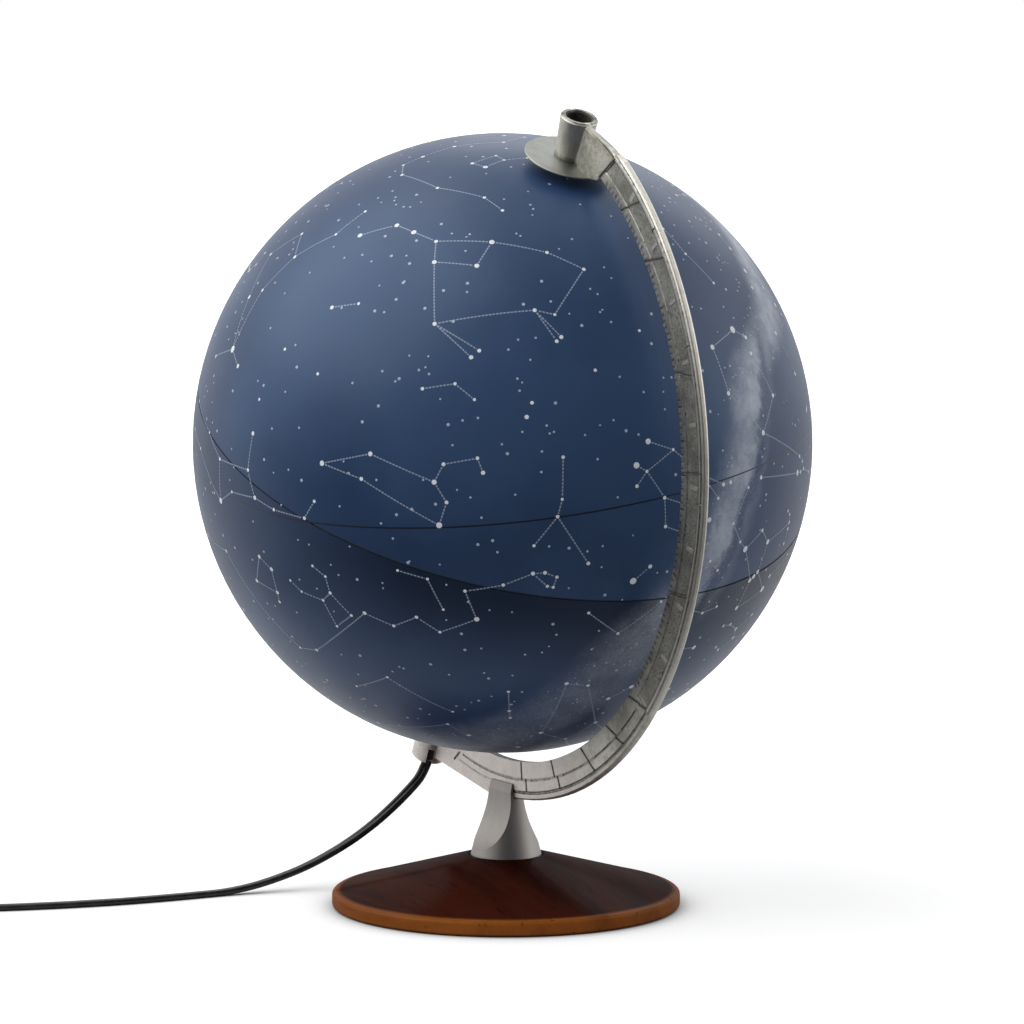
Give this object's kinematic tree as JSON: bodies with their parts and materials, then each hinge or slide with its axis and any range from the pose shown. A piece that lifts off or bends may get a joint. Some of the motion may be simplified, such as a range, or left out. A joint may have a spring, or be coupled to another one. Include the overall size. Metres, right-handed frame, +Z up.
{
  "type": "illuminated celestial globe",
  "caption": "Lit-from-inside star globe that turns on a tilted axis in a cast half meridian, on a polished neck and turned wooden base, with a flat cord, inline switch and plug.",
  "frame": {"origin": "centre of the base's underside, on the table", "axes": "+Z up; the half meridian lies in the XZ plane with its bow towards +X; the cord leaves towards -Y"},
  "size_m": [0.4183, 0.5333, 0.3925],
  "materials": {
    "lacquered_wood": "dark red-brown gloss lacquer, lighter on the rim",
    "green_felt": "matt felt",
    "zinc_steel": "zinc-plated",
    "satin_nickel": "satin polished plating",
    "antique_pewter": "die-cast, antiqued with dark patina in the recesses",
    "star_sphere": "deep navy printed satin gloss",
    "black_moulding": "fine matt",
    "pale_nylon": "plain moulded",
    "ivory_moulding": "moulded gloss",
    "plain_brass": "bright turned",
    "nickel_brass": "nickel-plated pins",
    "black_cord": "smooth flexible sheath",
    "blue_core": "thin core insulation",
    "clear_glass": "clear blown",
    "bulb_metal": "pressed cap",
    "lamp_wire": "fine drawn wire"
  },
  "bodies": {
    "stand": {"wood_base": "lacquered_wood", "felt_pad": "green_felt", "base_bolt": "zinc_steel", "base_washer": "zinc_steel", "neck": "satin_nickel", "neck_screw": "zinc_steel", "meridian": "antique_pewter", "pole_disc": "antique_pewter", "pivot_screw": "zinc_steel", "thrust_washer": "pale_nylon", "lamp_tube": "plain_brass", "tube_nuts": "plain_brass", "cord_grommet": "black_moulding", "core_wires": "blue_core", "holder_cap": "ivory_moulding", "terminal_block": "ivory_moulding", "terminal_screws": "plain_brass", "holder_skirt": "ivory_moulding", "contact_sleeve": "plain_brass", "centre_contact": "plain_brass", "bulb_cap": "bulb_metal", "bulb_contact": "bulb_metal", "bulb_glass": "clear_glass", "bulb_stem": "clear_glass", "lead_wires": "lamp_wire", "filament": "lamp_wire", "cord_lead": "black_cord", "switch_base": "black_moulding", "switch_cover": "black_moulding", "rocker_pin": "zinc_steel", "switch_contacts": "plain_brass", "switch_screws": "zinc_steel", "cord_link": "black_cord", "cord_coil": "black_cord", "coil_tie": "black_moulding", "plug_body": "black_moulding", "plug_pins": "nickel_brass", "plug_relief": "black_moulding"},
    "ball": {"north_hemisphere": "star_sphere", "south_hemisphere": "star_sphere", "equator_hoop": "black_moulding", "north_bush": "pale_nylon", "south_collar": "pale_nylon"},
    "rocker": {"switch_rocker": "black_moulding"}
  },
  "joints": [
    {"name": "ball_spin", "type": "hinge", "parent": "stand", "child": "ball", "pos_m": [-0.0031, 0, 0.2267], "axis": [0.3987, 0, 0.9171], "continuous": true},
    {"name": "rocker_tilt", "type": "hinge", "parent": "stand", "child": "rocker", "pos_m": [-0.14343, -0.29511, 0.0105], "axis": [0.9333, -0.359, 0], "range_deg": [0, 16]}
  ]
}
